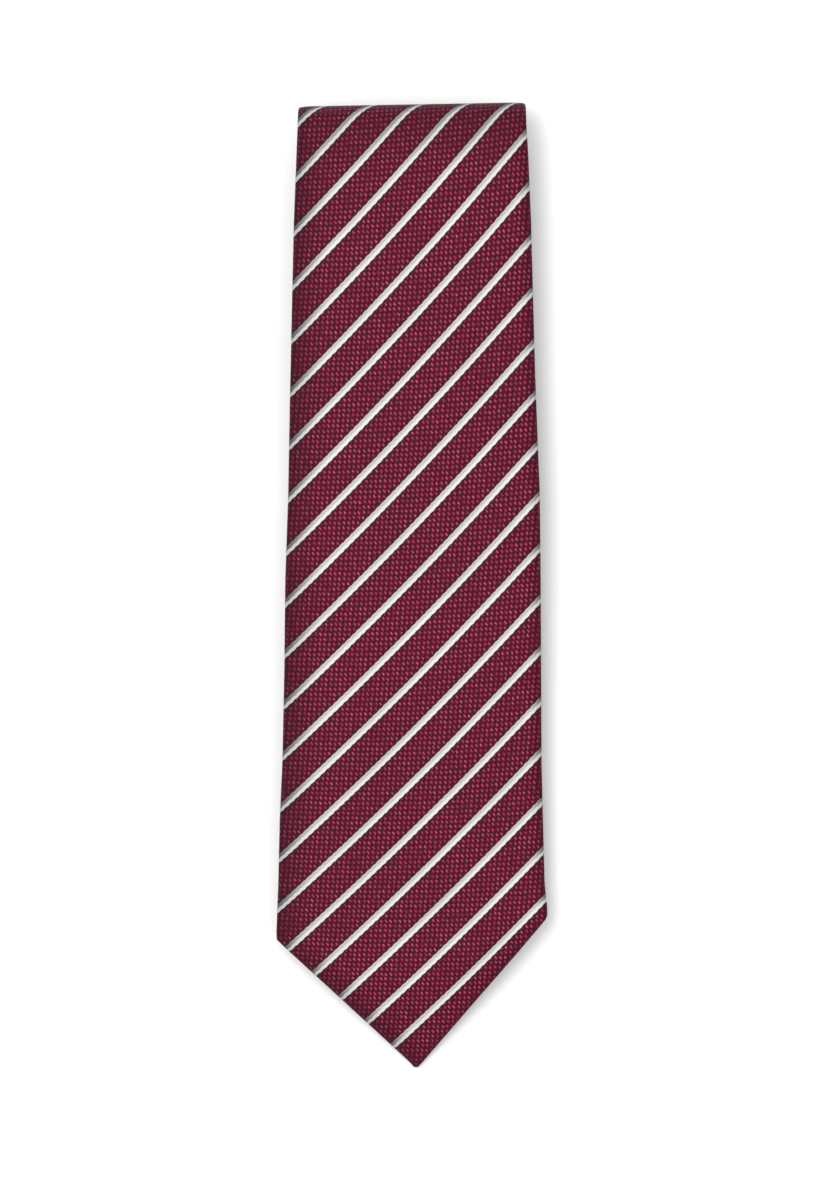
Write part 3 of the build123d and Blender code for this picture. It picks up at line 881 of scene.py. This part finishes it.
def satin(name, colour, roughness, thread_step):
    """Smooth satin in one colour, with fine threads running across the tie."""
    make = Nodes(name)
    place, _, y = make.flat_place()
    ribs = make.math("SINE", make.math("MULTIPLY", y, 2 * math.pi / (thread_step * MM)))
    light = make.sum((0.08, ribs), (0.25, make.noise(place, 1800.0, 3.0)), 0.85)
    return make.shade(
        Base_Color=make.scaled(colour, light),
        Roughness=roughness,
        Normal=make.bump(ribs, 0.35, 0.0001),
        Anisotropic=0.5,
        Specular_IOR_Level=0.4,
    )


lining = satin("burgundy_satin", LINING_COLOUR, LINING_ROUGHNESS, LINING_THREADS)


def tipping_piece(name, rows, hems, node):
    """Diamond of lining that reaches a tuck under the flaps on every side, lying on the wool."""

    def section(column, distance):
        hem_left, hem_right = hems(distance)
        edge_left, edge_right = edges(distance)
        left = max(hem_left - TUCK, edge_left + EDGE_CLEAR)
        right = min(hem_right + TUCK, edge_right - EDGE_CLEAR)
        x = left + (right - left) * column / TIPPING_COLUMNS
        return x, TIPPING_DEPTH, x

    piece = sheet_piece(name, TIPPING_COLUMNS, rows, section, TIPPING_THICK, lining)
    declare(node)
    return piece


def blade_distance(y):
    """Distance from the wide point of a place on the sloping part of the blade."""
    return SLOPE_END - (roll_y - y) / math.cos(math.radians(slope))


def blade_diamond(distance):
    """Left and right side of the lining that shows behind the wide point."""
    y = along_course(distance)[0]
    return between(y, blade_flap_left[:4]), between(y, blade_flap_right[:4])


def tail_diamond(distance):
    """Left and right side of the lining that shows behind the narrow point."""
    half = max(0.1, between(distance, tail_flap[1:]))
    return -half, half


tipping_rows = rows_along((17, blade_distance(-52.3), 1.2))
blade_lining = tipping_piece(
    "blade_tipping_satin",
    tipping_rows,
    blade_diamond,
    "blade_tipping",
)
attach(blade_lining, "blade_leaf")
tail_tipping_rows = rows_along((TAIL_END - TAIL_POINT_LONG, TAIL_END - 7, 1.0))
tail_lining = tipping_piece(
    "tail_tipping_satin",
    tail_tipping_rows,
    tail_diamond,
    "tail_tipping",
)
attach(tail_lining, "tail_leaf")


# ---- Keeper loop ----
# A flat strip of the shell cloth, folded in three and sewn down at both ends across the back
# of the blade. The narrow end is slipped through it when the tie is worn.

KEEPER_Y = 85.0
KEEPER_WIDE = 10.0
KEEPER_CLOTH = 0.5
KEEPER_FOOT_IN = 21.0
KEEPER_FOOT_OUT = 29.0
KEEPER_BRIDGE = 17.0
KEEPER_FACE = 1.88
KEEPER_DEPTH = 7.85
KEEPER_COLUMNS = 60
KEEPER_BIAS = 1.15


def keeper_section(column, distance):
    """(x, depth, place across) of the loop: flat feet, a rise at each side and a bridge."""
    x = KEEPER_FOOT_OUT * (2 * column / KEEPER_COLUMNS - 1)
    rise = ease(KEEPER_FOOT_IN - abs(x), 0, KEEPER_FOOT_IN - KEEPER_BRIDGE)
    return x, KEEPER_FACE + (KEEPER_DEPTH - KEEPER_FACE) * rise, x * KEEPER_BIAS


keeper_low = blade_distance(KEEPER_Y - KEEPER_WIDE / 2)
keeper_rows = rows_along((keeper_low, keeper_low + KEEPER_WIDE, 1))
keeper = sheet_piece(
    "keeper_strip", KEEPER_COLUMNS, keeper_rows, keeper_section, KEEPER_CLOTH, jacquard_cloth
)
declare("keeper_loop")
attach(keeper, "blade_leaf")


# ---- Labels on the back of the blade ----
# A blank woven satin label with a narrow light border, sewn on at both ends, and a blank white
# care label of thin satin tape slipped under the edge of the back seam.

LABEL_COLUMNS = 30
LABEL_Y = -2.0
LABEL_HALF = 25.0
LABEL_HALF_HIGH = 10.0
LABEL_THICK = 0.28
LABEL_DEPTH = 2.15
LABEL_GROUND = (0.016, 0.014, 0.018, 1)
LABEL_BORDER = (0.42, 0.40, 0.38, 1)
BORDER_INSET = 1.6
LABEL_THREADS = 0.2
CARE_LEFT = -26.0
CARE_RIGHT = -4.3
CARE_LOW = 43.0
CARE_HIGH = 67.0
CARE_THICK = 0.14
CARE_DEPTH = 1.68
TAPE_COLOUR = (0.78, 0.78, 0.76)
TAPE_ROUGHNESS = 0.5
TAPE_THREADS = 0.3


def woven_label():
    """Dark satin label with a light line woven just inside its edge."""
    make = Nodes("label_satin")
    place, across, along = make.flat_place()
    x = make.math("ABSOLUTE", make.math("MULTIPLY", across, 1000))
    y = make.math("ABSOLUTE", make.sum((1000.0, along), -LABEL_Y))
    past_end, past_side = make.sum((1.0, x), -LABEL_HALF), make.sum((1.0, y), -LABEL_HALF_HIGH)
    rim = make.math("MAXIMUM", past_end, past_side)
    line = make.step(make.math("ABSOLUTE", make.sum((1.0, rim), BORDER_INSET)), 0.32, 0.22)
    ribs = make.math("SINE", make.math("MULTIPLY", along, 2 * math.pi / (LABEL_THREADS * MM)))
    colour = make.mix(line, LABEL_GROUND, LABEL_BORDER)
    light = make.sum((0.15, ribs), (0.3, make.noise(place, 2200.0, 3.0)), 0.85)
    return make.shade(
        Base_Color=make.scaled(colour, light),
        Roughness=0.4,
        Normal=make.bump(ribs, 0.4, 0.0001),
        Anisotropic=0.4,
    )


def flat_section(left, right, depth):
    """Section of a flat label between two X positions."""

    def section(column, distance):
        x = left + (right - left) * column / LABEL_COLUMNS
        return x, depth, x

    return section


label_low = blade_distance(LABEL_Y - LABEL_HALF_HIGH)
label_rows = rows_along((label_low, label_low + 2 * LABEL_HALF_HIGH, 1))
label = sheet_piece(
    "woven_label_satin",
    LABEL_COLUMNS,
    label_rows,
    flat_section(-LABEL_HALF, LABEL_HALF, LABEL_DEPTH),
    LABEL_THICK,
    woven_label(),
)
declare("woven_label")
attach(label, "blade_leaf")

care_rows = rows_along((blade_distance(CARE_LOW), blade_distance(CARE_HIGH), 1))
care = sheet_piece(
    "care_label_tape",
    LABEL_COLUMNS,
    care_rows,
    flat_section(CARE_LEFT, CARE_RIGHT, CARE_DEPTH),
    CARE_THICK,
    satin("white_tape", TAPE_COLOUR, TAPE_ROUGHNESS, TAPE_THREADS),
)
declare("care_label")
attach(care, "blade_leaf")


# ---- Threads: slip stitches, bar tacks, seams and label stitches ----
# Burgundy silk thread. Every stitch is a short spindle of thread pulled into the cloth. The
# slip stitches hold the lap of the back seam, and a bar tack closes each end of it.

THREAD_COLOUR = (0.19, 0.010, 0.032)


def thread_material():
    """Burgundy thread with a fine twist."""
    make = Nodes("burgundy_thread")
    place = make.add("TexCoord").outputs["Object"]
    fibres = make.noise(place, 3500.0, 3.0)
    colour = make.scaled(THREAD_COLOUR, make.sum((0.7, fibres), 0.65))
    relief = make.bump(fibres, 0.5, 0.0001)
    return make.shade(Base_Color=colour, Roughness=0.45, Normal=relief, Sheen_Weight=0.1)


thread = thread_material()


def stitches(name, ends, radius, node, body):
    """Stitches that each run from one (x, distance, depth) place to another."""
    mesh = bmesh.new()
    for first, last in ends:
        start, end = lay(*first), lay(*last)
        turn = (end - start).to_track_quat("Z", "Y").to_matrix().to_4x4()
        size = Matrix.Diagonal((radius * MM, radius * MM, (end - start).length / 2, 1))
        place = Matrix.Translation((start + end) / 2) @ turn @ size
        bmesh.ops.create_uvsphere(mesh, u_segments=8, v_segments=6, radius=1, matrix=place)
    for face in mesh.faces:
        face.smooth = True
    data = bpy.data.meshes.new(name)
    mesh.to_mesh(data)
    mesh.free()
    data.materials.append(thread)
    piece = bpy.data.objects.new(name, data)
    bpy.context.scene.collection.objects.link(piece)
    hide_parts(node)
    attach(piece, body)


SLIP_STEP = 30.0
SLIP_RADIUS = 0.17
SLIP_HALF_LONG = 0.7
SLIP_LOW = (-4.7, 1.68)
SLIP_HIGH = (-3.9, 1.92)


def slip_row(first, last):
    """Slanted slip stitches over the edge of the lap, evenly spaced between two distances."""
    count = int(abs(last - first) // SLIP_STEP) + 1
    way = math.copysign(1, last - first)
    places = [first + way * SLIP_STEP * number for number in range(count)]
    low_x, low_depth = SLIP_LOW
    high_x, high_depth = SLIP_HIGH
    return [
        ((low_x, place - SLIP_HALF_LONG, low_depth), (high_x, place + SLIP_HALF_LONG, high_depth))
        for place in places
    ]


# Distance from the wide point at which Y would be 0, on each flat leaf of the folded length
second_zero = ROLL_END + roll_y
third_zero = THIRD_START - lower_fold_y
fourth_zero = FOURTH_START + upper_fold_y
fifth_zero = FIFTH_START - neck_fold_y
tail_zero = TAIL_START + tail_fold_y

# What a row is called, the solid part it stands for, its leaf, and where it starts and ends
slip_rows = [
    ("blade", "slip_stitch_front", "blade_leaf", blade_distance(-50.5), blade_distance(125.5)),
    ("second", "slip_stitch_second", "second_leaf", second_zero + 98, second_zero - 126),
    ("third", "slip_stitch_third", "third_leaf", third_zero - 98, third_zero + 126),
    ("fourth", "slip_stitch_fourth", "fourth_leaf", fourth_zero + 96, fourth_zero - 94),
    ("fifth", "slip_stitch_fifth", "fifth_leaf", fifth_zero + 14, fifth_zero + 122),
    ("end", "slip_stitch_end", "tail_leaf", tail_zero + 11.4, tail_zero - 122),
]
for row_name, part, leaf, first, last in slip_rows:
    stitches(f"{row_name}_slip_stitches", slip_row(first, last), SLIP_RADIUS, part, leaf)

TACK_HALF = 5
TACK_STEP = 0.25
TACK_DEPTH = 1.72
BOUND_DEPTH = 1.8
BLADE_TACK_RADIUS = 0.16
TAIL_TACK_RADIUS = 0.14


def tack(place):
    """Bar of four long threads across the back seam, bound by short threads over them."""
    ends = []
    for number in range(4):
        along = place + TACK_STEP * number
        ends.append(((-TACK_HALF, along, TACK_DEPTH), (TACK_HALF, along, TACK_DEPTH)))
    for x in range(1 - TACK_HALF, TACK_HALF):
        ends.append(((x, place - 0.2, BOUND_DEPTH), (x + 0.25, place + 0.95, BOUND_DEPTH)))
    return ends


blade_tack = tack(blade_distance(-60.5) - 0.9)
tail_tack = tack(tail_zero + 21.6)
stitches("blade_tack_threads", blade_tack, BLADE_TACK_RADIUS, "blade_bar_tack", "blade_leaf")
stitches("tail_tack_threads", tail_tack, TAIL_TACK_RADIUS, "tail_bar_tack", "tail_leaf")

SEAM_THREAD = 0.2
WOOL_THREAD = 0.36
SEAM_STITCH = 1.7


def seam_row(seam, section, columns):
    """Small stitches all round the tie's section, along a seam given as (place, slant)."""
    place, slant = seam
    ends = []
    for column in range(0, columns - 1, 2):
        pair = []
        for number in (column, column + SEAM_STITCH):
            x, depth, across = section(number, place)
            pair.append((x, place + slant * x, depth))
        ends.append(tuple(pair))
    return ends


blade_seam = seam_row(CLOTH_SEAMS[0], cloth_section, CLOTH_COLUMNS)
tail_seam = seam_row(CLOTH_SEAMS[1], cloth_section, CLOTH_COLUMNS)
wool_seam = seam_row(WOOL_SEAMS[0], wool_section, WOOL_COLUMNS)
stitches("blade_neck_seam_threads", blade_seam, SEAM_THREAD, "blade_neck_seam", "fourth_leaf")
stitches("neck_tail_seam_threads", tail_seam, SEAM_THREAD, "neck_tail_seam", "fifth_leaf")
stitches("wool_joint_threads", wool_seam, WOOL_THREAD, "interlining_joint_stitch", "fourth_leaf")

LABEL_THREAD = 0.15
KEEPER_THREAD = 0.16


def end_rows(start, count, step, inner, outer, lean):
    """Short stitches at both ends of a strip, from an inner (x, depth) to an outer one."""
    ends = []
    for side in (-1, 1):
        for number in range(count):
            place = start + step * number
            first = (side * inner[0], place, inner[1])
            ends.append((first, (side * outer[0], place + lean, outer[1])))
    return ends


label_ends = end_rows(label_low + 1, 10, 2.0, (24.4, 2.3), (25.5, 1.75), 0.5)
keeper_ends = end_rows(keeper_low + 1.6, 12, 0.6, (25.0, 2.2), (26.0, 2.2), 0.3)
stitches("label_end_stitches", label_ends, LABEL_THREAD, "label_stitches", "blade_leaf")
stitches("keeper_tack_threads", keeper_ends, KEEPER_THREAD, "keeper_tacks", "blade_leaf")
